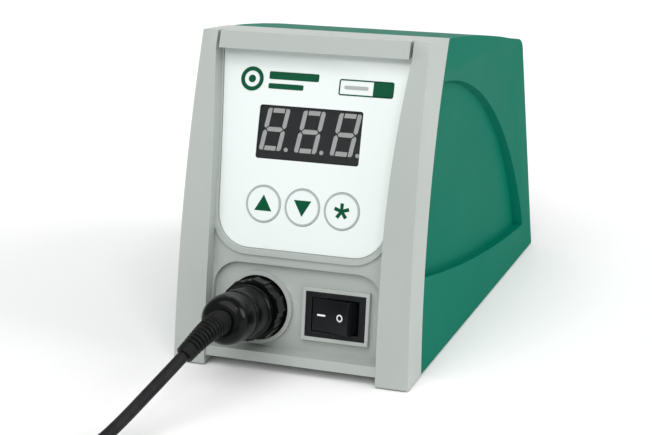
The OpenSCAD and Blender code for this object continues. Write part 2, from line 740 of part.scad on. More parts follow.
module transformer_screws() {
    color(steel) unit_frame() for (x = [-1, 1]) translate([x * ear_x, core_y, plate_z - 1.2]) {
        screw_up(1.6, 1.2, 2.9, 6);
        translate([0, 0, 1.2 + plate_t + 1.3]) difference() {
            cylinder(r = 2.9, h = 2.2, $fn = 6);
            translate([0, 0, -1]) cylinder(r = 1.6, h = 5);
        }
    }
}

board_y = frame_depth + 43;             // middle of the power board
board_top = floor_in + 6 + 1.6;
module power_board() {
    color([0.05, 0.3, 0.15]) unit_frame() difference() {
        from_floor([62, 34, 1.6], [0, board_y, floor_in + 6]);
        for (x = [-1, 1], y = [-1, 1]) translate([x * 27, board_y + y * 13, 0]) cylinder(r = 1.6, h = 30);
    }
}
module board_posts() {
    color("ivory") unit_frame() for (x = [-1, 1], y = [-1, 1]) translate([x * 27, board_y + y * 13, floor_in]) {
        cylinder(r = 2.8, h = 6);
        cylinder(r = 1.55, h = 8.4);
        translate([0, 0, 7.65]) cylinder(r = 2.4, h = 1.2);
    }
}
module power_capacitors() {
    color([0.1, 0.12, 0.3]) unit_frame() {
        translate([-14, board_y - 6, board_top]) cylinder(r = 6.3, h = 20);
        translate([1, board_y - 7, board_top]) cylinder(r = 5, h = 14);
    }
}
module heat_sink() {
    color([0.6, 0.6, 0.62]) unit_frame() {
        from_floor([26, 2, 26], [-10, board_y + 9, board_top]);
        for (i = [0 : 5]) from_floor([1.4, 7, 26], [-10 - 11.5 + 4.6 * i, board_y + 9 - 4.3, board_top]);
    }
}
module power_transistor() {
    color(black) unit_frame() from_floor([10, 4, 15], [-10, board_y + 12.1, board_top + 6]);
}
module terminal_block() {
    color([0.1, 0.4, 0.2]) unit_frame() difference() {
        from_floor([22, 9, 11], [15, board_y + 5, board_top]);
        for (i = [-1 : 1]) translate([15 + i * 7, board_y + 5, board_top + 3]) cylinder(r = 1.9, h = 10);
    }
}

// ---------- back ----------
module mains_inlet() {
    color(black) unit_frame() on_back(inlet_z) difference() {
        union() {
            centred([50, 3, 31.5], [0, 1.5, 0]);
            centred([27.4, 24, 30], [0, -12, 0]);
        }
        for (s = [-1, 1]) translate([s * 20, 0, 0]) y_cylinder(1.7, -1, 4);
        centred([24.4, 20, 16.2], [0, -5.5, 5.4]);
        centred([fuse_w + 0.3, 20, fuse_tall + 0.3], [0, -5.5, -10]);
        pin_bars(0.02);
    }
}
// The inlet's three flat pins, grown by more
module pin_bars(more) for (p = [[-7, 4], [7, 4], [0, 8]])
    centred([2 + more, 20 + more, 4 + more], [p[0], -14, p[1]]);
module inlet_pins() color("silver") unit_frame() on_back(inlet_z) pin_bars(0);
module inlet_screws() {
    color(steel) unit_frame() for (s = [-1, 1]) on_back(inlet_z, s * 20) {
        y_cylinder(1.24, -7, 3);
        y_cylinder(2.8, 3, 4.6);
    }
}
module fuse_drawer() {
    color(black) unit_frame() on_back(inlet_z) difference() {
        union() {
            centred([fuse_w, 16, fuse_tall], [0, -5, -10]);
            centred([10, 2, fuse_tall - 2], [0, 4, -10]);
        }
        centred([20.4, 6, 5.4], [0, -9, -8]);
    }
}
module fuse() {
    color([0.8, 0.85, 0.85]) unit_frame() on_back(inlet_z) translate([-10, -9, -9.1]) rotate([0, 90, 0])
        cylinder(r = 1.5, h = 20);
}
module ground_jack() {
    color("gold") unit_frame() on_back(inlet_z - 6, jack_x) difference() {
        union() {
            y_cylinder(4.4, 0, 1.6);
            y_cylinder(3, -12, 0);
        }
        y_cylinder(jack_bore / 2, -10, 2);
    }
}
module ground_nut() {
    color(steel) unit_frame() on_back(inlet_z - 6, jack_x) difference() {
        translate([0, -wall - 2.6, 0]) rotate([-90, 0, 0]) cylinder(r = 4.6, h = 2.4, $fn = 6);
        y_cylinder(3.05, -10, 2);
    }
}
// Rubber ring round the socket's barrel, flush with the panel
module socket_seal() {
    color(black) on_socket() y_ring(socket_d / 2 - 0.1, 8.5, -0.1, 0.35);
}

front_frame();
rear_cover();
base_plate();
rubber_feet();
foot_screws();
frame_screws();
panel_label();
display_lens();
display_module();
display_segments();
control_board();
board_clips();
key_switches();
button_up();
button_down();
button_set();
switch_housing();
switch_rocker();
switch_blades();
socket_shell();
socket_insert();
socket_pins();
socket_nut();
coupling_ring();
plug_shell();
plug_insert();
plug_boot();
lead_tube();
lead_coil();
lead_tail();
lead_tie();
iron_boot();
iron_handle();
iron_grip();
iron_collar();
iron_sleeve();
iron_heater();
iron_tip();
transformer_core();
transformer_winding();
transformer_frame();
transformer_screws();
power_board();
board_posts();
power_capacitors();
heat_sink();
power_transistor();
terminal_block();
mains_inlet();
inlet_pins();
inlet_screws();
fuse_drawer();
fuse();
ground_jack();
ground_nut();
socket_seal();
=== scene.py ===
# %% [markdown]
# # A soldering iron station
# A bench unit with a green moulded cover and a light grey front frame. The frame carries a white
# panel label with a three-digit display and three push buttons, and below it a socket with its
# plugged-in lead and a rocker switch. The model that comes in from CAD holds every real part at
# its real size. What is made here is what a drawing of parts leaves out: rounded moulded edges,
# print, ribs, the turns of the coiled lead, and finishes that behave as the real ones do.

# %% Load the parts
import json
import math

import bmesh
import bpy
from mathutils import Matrix, Vector

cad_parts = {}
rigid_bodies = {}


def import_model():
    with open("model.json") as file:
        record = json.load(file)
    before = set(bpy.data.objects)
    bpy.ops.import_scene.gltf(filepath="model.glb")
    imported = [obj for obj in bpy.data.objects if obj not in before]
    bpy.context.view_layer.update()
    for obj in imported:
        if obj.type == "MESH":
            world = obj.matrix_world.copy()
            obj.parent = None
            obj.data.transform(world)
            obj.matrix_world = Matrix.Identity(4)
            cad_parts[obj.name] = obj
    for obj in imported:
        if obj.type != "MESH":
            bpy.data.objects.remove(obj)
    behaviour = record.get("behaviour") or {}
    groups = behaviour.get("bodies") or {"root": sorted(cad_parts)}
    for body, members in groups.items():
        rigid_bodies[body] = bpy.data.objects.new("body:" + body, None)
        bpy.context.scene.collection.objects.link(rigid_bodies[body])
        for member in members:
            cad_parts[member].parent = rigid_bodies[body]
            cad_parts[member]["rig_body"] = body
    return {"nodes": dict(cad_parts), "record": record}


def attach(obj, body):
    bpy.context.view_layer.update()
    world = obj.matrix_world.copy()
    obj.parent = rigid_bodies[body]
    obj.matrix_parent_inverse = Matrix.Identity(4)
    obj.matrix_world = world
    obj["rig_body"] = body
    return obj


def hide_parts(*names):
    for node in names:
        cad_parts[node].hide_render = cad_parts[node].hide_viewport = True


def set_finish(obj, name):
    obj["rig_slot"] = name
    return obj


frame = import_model()
nodes = frame["nodes"]
slot_of = {part["node"]: part["material_slot"] for part in frame["record"]["subparts"]}
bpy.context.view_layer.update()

# %% [markdown]
# ## The camera
# A product shot of a small unit is taken from a little more than half a metre away with a long
# lens, above its front and to its right. An aimed camera can be made with a constraint, but a
# matrix built from three angles says the same thing in numbers that can be read and changed.

# %% Camera


def turned(azimuth, elevation, roll):
    """Axes of a camera that looks along +Y at azimuth 0, as a matrix."""
    a, e, r = (math.radians(v) for v in (azimuth, elevation, roll))
    back = Vector((math.sin(a) * math.cos(e), -math.cos(a) * math.cos(e), math.sin(e)))
    right = Vector((math.cos(a), math.sin(a), 0))
    up = back.cross(right)
    rolled_right = right * math.cos(r) + up * math.sin(r)
    rolled_up = up * math.cos(r) - right * math.sin(r)
    return Matrix((rolled_right, rolled_up, back)).transposed().to_4x4()


camera = bpy.data.objects.new("camera", bpy.data.cameras.new("camera"))
bpy.context.scene.collection.objects.link(camera)
camera.matrix_world = Matrix.Translation((0.2070, -0.5587, 0.2264)) @ turned(21.77, 18.10, -1.30)
camera.data.sensor_width = 36
camera.data.lens = 94.3
camera.data.clip_start = 0.01
bpy.context.scene.camera = camera
print("camera", [round(v, 3) for v in camera.matrix_world.translation], "lens", camera.data.lens)

# %% [markdown]
# ## Where things are on the front
# The front is bowed: seen from the side it is an arc with a radius of 417 mm, leaning back. A
# small frame that sits on that arc, with x across, y into the unit and z up along the surface,
# lets every mark and mould line be drawn flat in millimetres and then laid on the unit.

# %% Frames on the bowed front
MM = 0.001
FRONT_R, FRONT_LEAN = 417, math.radians(7.9)
DEPTH = 156
FRONT_Y, FRONT_Z = FRONT_R * math.cos(FRONT_LEAN), -FRONT_R * math.sin(FRONT_LEAN)
PANEL, PORT = 5, 7                    # how deep the panel and the recess lie behind the rails
DISPLAY_Z, BUTTON_Z, BUTTON_PITCH = 78.7, 55.4, 14
PORT_Z, PORT_X = 20.9, 14


def on_front(z, depth, x=0):
    """Matrix from local millimetres on the front to metres in the shared frame."""
    turn = math.asin((z - FRONT_Z) / FRONT_R)
    return (Matrix.Scale(MM, 4) @ Matrix.Translation((x, FRONT_Y - DEPTH / 2, FRONT_Z))
            @ Matrix.Rotation(-turn, 4, "X") @ Matrix.Translation((0, depth - FRONT_R, 0)))


print("middle of the switch", [round(v, 4) for v in on_front(PORT_Z, PORT, PORT_X).translation])

# %% [markdown]
# ## The lead
# The lead is a limp silicone cord, 3.9 mm thick and about 1.2 m long. It leaves the plug's boot,
# falls to the bench, and is wound up beside the iron that hangs on its end. A curve with a round
# bevel is the plain way to make a cord: its own line is the centreline, so its length can be
# summed. The coil comes from a formula: a spiral inwards on the bench, then outwards on top.

# %% The line of the lead
LEAD = 3.9
LAY = LEAD / 2
COIL = Vector((-28, -213, 0))
TURN_OUT, TURNS = 30.52, 3.25
FALL = [(-18, -117, 21), (-21.2, -125, 16.6), (-24.4, -133, 12.3), (-27.5, -141, 8.1),
        (-30.7, -149, LAY + 2.5), (-33.9, -157, LAY + 0.5), (-37.6, -165, LAY), (-41.8, -173, LAY),
        (-46.6, -182, LAY), (-51.4, -191, LAY), (-55.6, -200, LAY), (-58, -208, LAY)]
TAIL_X = COIL.x + TURN_OUT
TAIL = [(TAIL_X, -212, LAY + LEAD), (TAIL_X, -204, LAY + 3), (TAIL_X, -196, LAY + 1.5),
        (TAIL_X, -188, LAY + 0.3), (TAIL_X, -180, LAY), (TAIL_X, -170, LAY), (TAIL_X, -160, LAY),
        (TAIL_X, -153, LAY), (4.2, -146, LAY), (8.4, -141, LAY), (14.3, -139, LAY),
        (20.1, -141, LAY + 0.3), (24.6, -146, 3.8), (26, -152, 6), (26, -158, 7.5)]


def smooth(t):
    t = min(1, max(0, t))
    return t * t * (3 - 2 * t)


def coil_points(per_turn=36):
    """In from the left side, counter-clockwise, then out again one layer higher."""
    steps = round(2 * TURNS * per_turn)
    for i in range(steps + 1):
        wound = i / per_turn
        inward = min(wound, 2 * TURNS - wound)
        radius = TURN_OUT - LEAD * inward
        height = LAY + LEAD * smooth((wound - TURNS) / 0.3)
        angle = math.pi + 2 * math.pi * wound
        yield COIL + Vector((radius * math.cos(angle), radius * math.sin(angle), height))


def eased(points, rounds=2):
    """Corner cutting: each pass puts two points near the ends of every stretch."""
    points = [Vector(p) for p in points]
    for _ in range(rounds):
        cut = [points[0]]
        for a, b in zip(points, points[1:]):
            cut += [a.lerp(b, 0.25), a.lerp(b, 0.75)]
        points = cut + [points[-1]]
    return points


line = eased(FALL) + list(coil_points()) + eased(TAIL)
length = sum((b - a).length for a, b in zip(line, line[1:])) * MM
print("lead:", len(line), "points,", round(length, 3), "m")

# %% The lead as a curve
lead_curve = bpy.data.curves.new("lead", "CURVE")
lead_curve.dimensions = "3D"
lead_curve.bevel_depth = 1
lead_curve.bevel_resolution = 5
spline = lead_curve.splines.new("POLY")
spline.points.add(len(line) - 1)
for point, place in zip(spline.points, line):
    point.co = (*(place * MM), 1)
    point.radius = LEAD / 2 * MM
spline.use_smooth = True
lead = bpy.data.objects.new("lead", lead_curve)
bpy.context.scene.collection.objects.link(lead)
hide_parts("lead_tube", "lead_coil", "lead_tail")
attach(lead, "station")
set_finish(lead, "silicone_lead")

# %% [markdown]
# ## Small builders
# Printed marks, ribs and digits are thin meshes made point by point. One builder turns a set of
# flat outlines into a mesh of even thickness, another lofts rings of points into a closed skin.

# %% Meshes from outlines and rings


def circle(r, parts):
    return [(r * math.cos(a), r * math.sin(a)) for a in (2 * math.pi * k / parts for k in range(parts))]


def add_mesh(name, verts, faces, body, slot=None, smooth_angle=None):
    mesh = bpy.data.meshes.new(name)
    mesh.from_pydata([tuple(v) for v in verts], [], faces)
    mesh.validate()
    obj = bpy.data.objects.new(name, mesh)
    bpy.context.scene.collection.objects.link(obj)
    if smooth_angle is not None:
        mesh.shade_smooth()
        mesh.set_sharp_from_angle(angle=math.radians(smooth_angle))
    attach(obj, body)
    if slot:
        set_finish(obj, slot)
    return obj


def printed(name, outlines, place, body, slot=None, thick=0.05):
    """Flat outlines of (x, z) points in millimetres, as a film of even thickness facing -y."""
    verts, faces = [], []
    for outline in outlines:
        n, start = len(outline), len(verts)
        verts += [place @ Vector((x, y, z)) for y in (-thick, 0) for x, z in outline]
        faces.append(list(range(start, start + n)))
        faces.append(list(range(start + 2 * n - 1, start + n - 1, -1)))
        faces += [[start + i, start + n + i, start + n + (i + 1) % n, start + (i + 1) % n]
                  for i in range(n)]
    return add_mesh(name, verts, faces, body, slot)


def ring(x, z, outer, inner, parts=48):
    """A printed circle as short tiles, so that each tile is a plain outline."""
    def at(r, i):
        return (x + r * math.cos(2 * math.pi * i / parts), z + r * math.sin(2 * math.pi * i / parts))
    return [[at(outer, i), at(outer, i + 1), at(inner, i + 1), at(inner, i)] for i in range(parts)]


def rounded(x0, z0, x1, z1, r, parts=5):
    """A rectangle with quarter circles for corners."""
    corners = [(x1 - r, z1 - r, 0), (x0 + r, z1 - r, 90), (x0 + r, z0 + r, 180), (x1 - r, z0 + r, 270)]
    turns = [(x, z, math.radians(start + 90 * i / parts))
             for x, z, start in corners for i in range(parts + 1)]
    return [(x + r * math.cos(a), z + r * math.sin(a)) for x, z, a in turns]


def lofted(name, rings, body, slot, smooth_angle=40):
    """Closed rings with the same number of points, joined into one skin with two end caps."""
    n = len(rings[0])
    verts = [p for one in rings for p in one]
    faces = [[i * n + k, i * n + (k + 1) % n, (i + 1) * n + (k + 1) % n, (i + 1) * n + k]
             for i in range(len(rings) - 1) for k in range(n)]
    faces += [list(range(n - 1, -1, -1)), list(range(len(verts) - n, len(verts)))]
    return add_mesh(name, verts, faces, body, slot, smooth_angle)


# %% [markdown]
# ## Moulded edges
# No moulded or turned edge is knife sharp: its tool is rounded, so each edge catches a thin line
# of light. The CAD part stays as it is and is hidden, and a copy of it gets the rounding. The
# copy's flat faces are first merged, so that the bevel meets clean edges only.

# %% Rounded copies of CAD parts


def rounded_copy(node, width, segments=2, angle=32):
    """A copy of a CAD part whose edges are rounded by width, in millimetres."""
    source = nodes[node]
    mesh = source.data.copy()
    work = bmesh.new()
    work.from_mesh(mesh)
    bmesh.ops.remove_doubles(work, verts=work.verts, dist=2e-6)
    bmesh.ops.dissolve_limit(work, angle_limit=math.radians(0.6), verts=work.verts, edges=work.edges)
    bmesh.ops.recalc_face_normals(work, faces=work.faces)
    work.to_mesh(mesh)
    work.free()
    mesh.materials.clear()
    copy = bpy.data.objects.new(node + "_moulded", mesh)
    bpy.context.scene.collection.objects.link(copy)
    mesh.shade_smooth()
    mesh.set_sharp_from_angle(angle=math.radians(angle))
    bevel = copy.modifiers.new("edges", "BEVEL")
    bevel.width = width * MM
    bevel.segments = segments
    bevel.limit_method = "ANGLE"
    bevel.angle_limit = math.radians(angle)
    bevel.use_clamp_overlap = True
    bevel.harden_normals = True
    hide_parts(node)
    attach(copy, source["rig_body"])
    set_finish(copy, slot_of[node])
    return copy


copies = {node: rounded_copy(node, width) for node, width in {
    "front_frame": 0.7, "rear_cover": 0.9, "coupling_ring": 0.3, "socket_shell": 0.25,
    "switch_housing": 0.35, "switch_rocker": 0.5, "mains_inlet": 0.5, "fuse_drawer": 0.4,
    "lead_tie": 0.4}.items()}
print("rounded:", ", ".join(copies))

# %% [markdown]
# ## The plug's boot
# A soft boot guides the lead out of the plug. It tapers, bends, and is cut by grooves that let
# it flex, with a plain band at its end. Rings along a bent line, each with its own radius, make
# it in one skin: the radius drops in the grooves and rises on the ribs.

# %% Ribbed boot
PLUG_END = 31.1                       # from the recess to the end of the plug's cap
port_turn = math.asin((PORT_Z - FRONT_Z) / FRONT_R)
plug_out = Vector((0, -math.cos(port_turn), math.sin(port_turn)))
port_at = on_front(PORT_Z, PORT, -PORT_X).translation / MM
plug_end = port_at + PLUG_END * plug_out
fall_start = Vector(FALL[0])
fall_back = (fall_start - Vector(FALL[1])).normalized()
bend = [plug_end - 0.5 * plug_out, plug_end + 8 * plug_out, fall_start + 7 * fall_back, fall_start]
BOOT_R, BOOT_TAPER, GROOVE = 4.25, 1.25, 0.62
RIBS, BAND = 13, 0.87                 # the plain band takes the rest of the length


def along(t):
    """The point at share t of the boot's bent line."""
    u = 1 - t
    return u ** 3 * bend[0] + 3 * t * u * u * bend[1] + 3 * t * t * u * bend[2] + t ** 3 * bend[3]


def boot_radius(t):
    taper = BOOT_R - BOOT_TAPER * t
    if t > BAND:
        return taper - 0.02
    wave = math.cos(2 * math.pi * RIBS * t / BAND)
    return taper - GROOVE * smooth(0.5 - 0.75 * wave)


def ring_round(centre, heading, radius, parts=28):
    side = heading.cross(Vector((0, 0, 1))).normalized()
    up = side.cross(heading)
    return [(centre + x * side + z * up) * MM for x, z in circle(radius, parts)]


steps = 130
boot_rings = []
for i in range(steps + 1):
    t = i / steps
    heading = (along(min(1, t + 0.01)) - along(max(0, t - 0.01))).normalized()
    boot_rings.append(ring_round(along(t), heading, boot_radius(t)))
boot_rings.append(ring_round(along(1) + heading * 0.25, heading, 2.75))
boot = lofted("ribbed_boot", boot_rings, "station", "black_rubber")
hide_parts("plug_boot")
print("boot:", RIBS, "ribs over", round((plug_end - fall_start).length, 1), "mm")

# %% [markdown]
# ## The plug's body
# The plug is turned round one line, so a profile of radius against distance says everything
# about it: a sleeve, a wide band, a neck and a domed cap that shines at its shoulder.

# %% Turned plug
SLEEVE = [(7.9, 6.6), (7.9, 8.8)]
BAND_RIM = [(8.9, 9.0), (9.15, 9.3), (9.15, 11.2), (8.9, 11.6), (8.55, 12.0), (8.5, 12.6)]
NECK = [(8.45, 16.0), (8.5, 20.0), (8.35, 20.3), (8.1, 20.5), (8.1, 21.1), (8.3, 21.3)]
CAP = [(8.35, 21.8), (8.35, 26.6), (8.25, 27.8), (7.95, 28.9), (7.4, 29.8), (6.7, 30.5),
       (5.9, 30.9), (5.0, 31.08), (3.2, PLUG_END)]
PLUG = SLEEVE + BAND_RIM + NECK + CAP


def turned_piece(name, profile, place, body, slot, parts=64, smooth_angle=40):
    """Rings of (radius, distance along local -y), joined into one skin."""
    rings = [[place @ Vector((x, -d, z)) for x, z in circle(r, parts)] for r, d in profile]
    return lofted(name, rings, body, slot, smooth_angle)


plug_body = turned_piece("plug_body", PLUG, on_front(PORT_Z, PORT, -PORT_X), "station",
                         "connector_black")
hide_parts("plug_shell")
print("plug:", len(PLUG), "profile points")

# %% [markdown]

# %% [markdown]
# ## Print on the label
# The label is printed from behind: a plain round mark with two bars beside it, a rounded badge,
# a grey circle round each button, two triangles and a five-armed star. Each is a film a
# twentieth of a millimetre thick. The marks on the buttons move with the buttons.

# %% Marks beside the display
top_marks = on_front(95.2, PANEL + 0.26, 0)
MARK_X = -22.3
round_mark = ring(MARK_X, 0, 4.1, 2.7) + [[(MARK_X + x, z) for x, z in circle(1.3, 24)]]
printed("mark_round", round_mark, top_marks, "station")
printed("mark_bars", [rounded(-16.2, 0.3, 1.6, 2.9, 0.5), rounded(-16.2, -2.9, -3.6, -1.1, 0.5)],
        top_marks, "station")
badge = on_front(94.5, PANEL + 0.26, 0)


def frame_tiles(x0, z0, x1, z1, r, line):
    """The outline of a rounded rectangle, as short tiles."""
    outer = rounded(x0, z0, x1, z1, r)
    inner = rounded(x0 + line, z0 + line, x1 - line, z1 - line, r - line)
    n = len(outer)
    return [[outer[i], outer[(i + 1) % n], inner[(i + 1) % n], inner[i]] for i in range(n)]


printed("mark_badge", frame_tiles(8.9, -2.7, 28.0, 2.7, 0.8, 0.45) + [rounded(20.9, -2.5, 27.8, 2.5, 0.5)],
        badge, "station")
printed("mark_badge_line", [rounded(10.8, -0.6, 19.2, 0.6, 0.5)], badge, "station")

# %% Marks on the buttons
star = [[(r * math.sin(math.radians(72 * k + w)), r * math.cos(math.radians(72 * k + w)))
         for r, w in ((0, 0), (0.9, -38), (2.75, -13), (2.75, 13), (0.9, 38))] for k in range(5)]
button_marks = {
    "up": [[(-3.1, -2.3), (3.1, -2.3), (0, 3.1)]],
    "down": [[(-3.1, 2.3), (0, -3.1), (3.1, 2.3)]],
    "set": star,
}
for i, (button, shape) in enumerate(button_marks.items()):
    place = on_front(BUTTON_Z, PANEL + 0.14, BUTTON_PITCH * (i - 1))
    body = button + "_button"
    printed("mark_" + button, shape, place, body)
    printed("circle_" + button, ring(0, 0, 6.15, 5.6), place, body)
print("marks on", ", ".join(button_marks))

# %% [markdown]
# ## The digits
# An unlit display shows its segments as pale bars in a dark face. The side bars have slanted
# ends, the middle bar is pointed, and the whole digit leans by nine degrees.

# %% Display segments
DIGIT, BAR, HALF = 14.2, 1.5, 3.2     # a digit's height, a bar's width, and a side bar's place
DIGIT_PITCH, LEAN = 12.7, math.tan(math.radians(9))
RISE = 1                              # the digits sit above the window's middle


def digit(x):
    top, mid = DIGIT / 2, BAR / 2
    flat, point, shoulder = HALF - mid - 0.42, HALF - 0.25, HALF - 0.95
    bars = [[(-flat, s * top), (flat, s * top), (flat, s * (top - BAR)), (-flat, s * (top - BAR))]
            for s in (-1, 1)]
    bars.append([(-point, 0), (-shoulder, mid), (shoulder, mid), (point, 0), (shoulder, -mid),
                 (-shoulder, -mid)])
    inside, outside = HALF - mid, HALF + mid
    side = [(outside, 0.9), (HALF + 0.1, 0.25), (inside, 1.1), (inside, top - 0.1),
            (outside - 0.5, top), (outside, top - 0.6)]
    bars += [[(sx * px, sz * pz) for px, pz in side] for sx in (-1, 1) for sz in (-1, 1)]
    leant = [[(x + px + pz * LEAN, pz) for px, pz in bar] for bar in bars]
    dot = [(x + 4.7 + px, -top + 0.6 + pz) for px, pz in circle(0.72, 20)]
    return leant + [dot]


segments = printed("segments", digit(-DIGIT_PITCH) + digit(0) + digit(DIGIT_PITCH),
                   on_front(DISPLAY_Z, PANEL + 1.195) @ Matrix.Translation((0, 0, RISE)), "station",
                   "display_segment", thick=0.03)
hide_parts("display_segments")
print("segments:", len(segments.data.vertices), "points")

# %% [markdown]
# ## The switch's marks
# A line for on and a ring for off are moulded into the rocker's face and filled with white.
# They belong to the rocker, so they are drawn in its own tilted frame and turn with it.

# %% Marks on the rocker
THROW, PIVOT = 24, 3                  # degrees from off to on, and how deep the pivot lies
FACE, FACE_TILT = 5.97, 6.8           # the face halfway out: its distance from the pivot, its tilt
rocker_frame = (on_front(PORT_Z, PORT, PORT_X) @ Matrix.Translation((0, PIVOT, 0))
                @ Matrix.Rotation(math.radians(-THROW / 2), 4, "Z"))


def on_rocker(x):
    """The rocker's face is slightly hollow: this is its tangent plane halfway out on one side."""
    tilt = math.radians(math.copysign(FACE_TILT, -x))
    return rocker_frame @ Matrix.Translation((x, -FACE, 0)) @ Matrix.Rotation(tilt, 4, "Z")


printed("mark_on", [rounded(-1.5, -0.3, 1.5, 0.3, 0.15)], on_rocker(-3.6), "rocker", None, thick=0.08)
printed("mark_off", ring(0, 0, 1.25, 0.8, 32), on_rocker(3.6), "rocker", None, thick=0.08)
print("rocker marks placed")

# %% [markdown]
# ## Shader maths in plain expressions
# A finish is easiest to read as a formula: base colour is paint times grain, roughness is a
# number plus a little noise. A socket wrapped in a small class lets Python's own operators add
# the nodes. Numbers go through Math nodes. Colours go through Mix, because a Math node would
# turn them grey.

# %% Sockets that add, subtract, multiply and compare


class Sock:
    """One output of a node. Arithmetic on it adds Math nodes to its finish."""

    def __init__(self, finish, socket):
        self.finish, self.socket = finish, socket

    def _math(self, operation, a, b):
        return self.finish.node("ShaderNodeMath", {"operation": operation}, {0: a, 1: b})

    def __add__(self, other):
        return self._math("ADD", self, other)

    def __radd__(self, other):
        return self._math("ADD", other, self)

    def __sub__(self, other):
        return self._math("SUBTRACT", self, other)

    def __rsub__(self, other):
        return self._math("SUBTRACT", other, self)

    def __mul__(self, other):
        return self._math("MULTIPLY", self, other)

    def __rmul__(self, other):
        return self._math("MULTIPLY", other, self)

    def __gt__(self, other):
        return self._math("GREATER_THAN", self, other)


def shade(colour, share):
    """The same colour with its light multiplied by share, never above white."""
    return tuple(min(1, c * share) for c in colour[:3]) + (1,)


def paint(red, green, blue):
    """A colour as a screen shows it, 0 to 255, turned into the linear light that shaders use."""
    def linear(v):
        v /= 255
        return v / 12.92 if v <= 0.04045 else ((v + 0.055) / 1.055) ** 2.4
    return (linear(red), linear(green), linear(blue), 1)


class Finish:
    """A material with one surface shader, and one method for every other node."""

    def __init__(self, name):
        self.material = bpy.data.materials.new(name)
        self.material.use_nodes = True
        self.tree = self.material.node_tree
        self.shader = self.tree.nodes["Principled BSDF"]

    def feed(self, socket, value):
        if isinstance(value, Sock):
            self.tree.links.new(value.socket, socket)
        else:
            socket.default_value = value

    def node(self, kind, settings=None, inputs=None, out=0):
        made = self.tree.nodes.new(kind)
        for key, value in (settings or {}).items():
            setattr(made, key, value)
        for key, value in (inputs or {}).items():
            self.feed(made.inputs[key], value)
        return Sock(self, made.outputs[out])

    def place(self, stretch=(1, 1, 1)):
        where = self.node("ShaderNodeTexCoord", out="Object")
        return self.node("ShaderNodeMapping", inputs={"Vector": where, "Scale": stretch})

    def noise(self, size, detail=2.0, stretch=(1, 1, 1)):
        """Noise between 0 and 1 whose spots are about size millimetres across."""
        return self.node("ShaderNodeTexNoise", inputs={
            "Vector": self.place(stretch), "Scale": 1000 / size, "Detail": detail, "Roughness": 0.5})

    def mix(self, share, a, b):
        return self.node("ShaderNodeMix", {"data_type": "RGBA"}, {0: share, 6: a, 7: b}, out=2)

    def bump(self, height, depth, strength=1.0):
        """A bump whose full height is depth millimetres."""
        return self.node("ShaderNodeBump", inputs={
            "Height": height, "Distance": depth * MM, "Strength": strength})

    def surface(self, **values):
        for key, value in values.items():
            self.feed(self.shader.inputs[key.replace("_", " ")], value)
        return self.material


print("expressions ready")

# %% [markdown]
# ## Moulded plastic
# The housing is injection moulded with a fine spark-eroded grain, a fifth of a millimetre
# across, that spreads every reflection. The colour drifts a little where the plastic flowed, and
# hands polish it in soft patches. Three noises do this: grain for the bump, a cloud for the
# colour, a finer cloud for the roughness. The shine is how strongly the surface mirrors: a deep
# colour under a white sky stays deep only if it is low.

# %% Moulded plastics


def moulded(name, colour, rough=0.45, grain=0.22, deep=0.012, drift=0.06, coat=0.0, shine=0.4):
    f = Finish(name)
    cloud = f.noise(38, 3)
    speck = f.noise(grain, 2)
    base = f.mix(cloud * 0.7 + speck * 0.3, shade(colour, 1 - 2 * drift), shade(colour, 1 + drift))
    polish = f.noise(24, 2)
    return f.surface(Base_Color=base, Roughness=rough + 0.10 * (polish - 0.5) + 0.06 * (speck - 0.5),
                     Normal=f.bump(speck, deep), Coat_Weight=coat, Coat_Roughness=0.1,
                     Specular_IOR_Level=shine)


finishes = {
    "grey_plastic": moulded("light_grey_moulding", paint(166, 172, 168)),
    "green_plastic": moulded("green_moulding", paint(0, 104, 84), rough=0.5, drift=0.05, shine=0.02),
    "display_black": moulded("display_face", paint(34, 37, 38), rough=0.6, deep=0.004),
    "switch_black": moulded("satin_black_moulding", paint(17, 19, 21), rough=0.30, deep=0.005, shine=0.22),
    "connector_black": moulded("polished_black_moulding", paint(6, 7, 8), rough=0.24, deep=0.002,
                               coat=0.08, shine=0.12),
    "connector_insert": moulded("insert_moulding", paint(38, 38, 40), rough=0.55),
    "nylon_natural": moulded("natural_nylon", paint(228, 222, 204), rough=0.5),
    "terminal_green": moulded("terminal_moulding", paint(24, 120, 66)),
    "iron_handle_plastic": moulded("handle_moulding", paint(36, 38, 40), rough=0.38, deep=0.008),
    "tie_strap": moulded("strap_moulding", paint(40, 40, 42), rough=0.5),
    "capacitor_sleeve": moulded("shrink_sleeve", paint(32, 44, 82), rough=0.25, deep=0.003, coat=0.4),
    "heater_white": moulded("unglazed_ceramic", paint(232, 226, 212), rough=0.75, grain=0.1, deep=0.006),
}
print(len(finishes), "moulded finishes")

# %% [markdown]
# ## Label, window and print
# The label is a glossy polyester film. It is never quite flat, so its reflection swims: a broad,
# shallow bump gives that, and a clear coat gives the shine. The display's window is a smoked
# sheet, dark but see-through, and the ink is matt, with dots finer than the eye can see.

# %% Films, window and inks


def film(name, colour, rough):
    f = Finish(name)
    wave = f.noise(30, 1)
    fibre = f.noise(0.4, 2)
    base = f.mix(wave * 0.6 + fibre * 0.4, shade(colour, 0.97), colour)
    return f.surface(Base_Color=base, Roughness=rough + 0.05 * (fibre - 0.5), Coat_Weight=0.7,
                     Coat_Roughness=0.06, Normal=f.bump(wave, 0.12, 0.5))


def ink(name, colour, rough=0.4):
    f = Finish(name)
    dots = f.noise(0.12, 2)
    base = f.mix(dots, shade(colour, 0.85), colour)
    return f.surface(Base_Color=base, Roughness=rough + 0.08 * (dots - 0.5), Normal=f.bump(dots, 0.003),
                     Specular_IOR_Level=0.1)


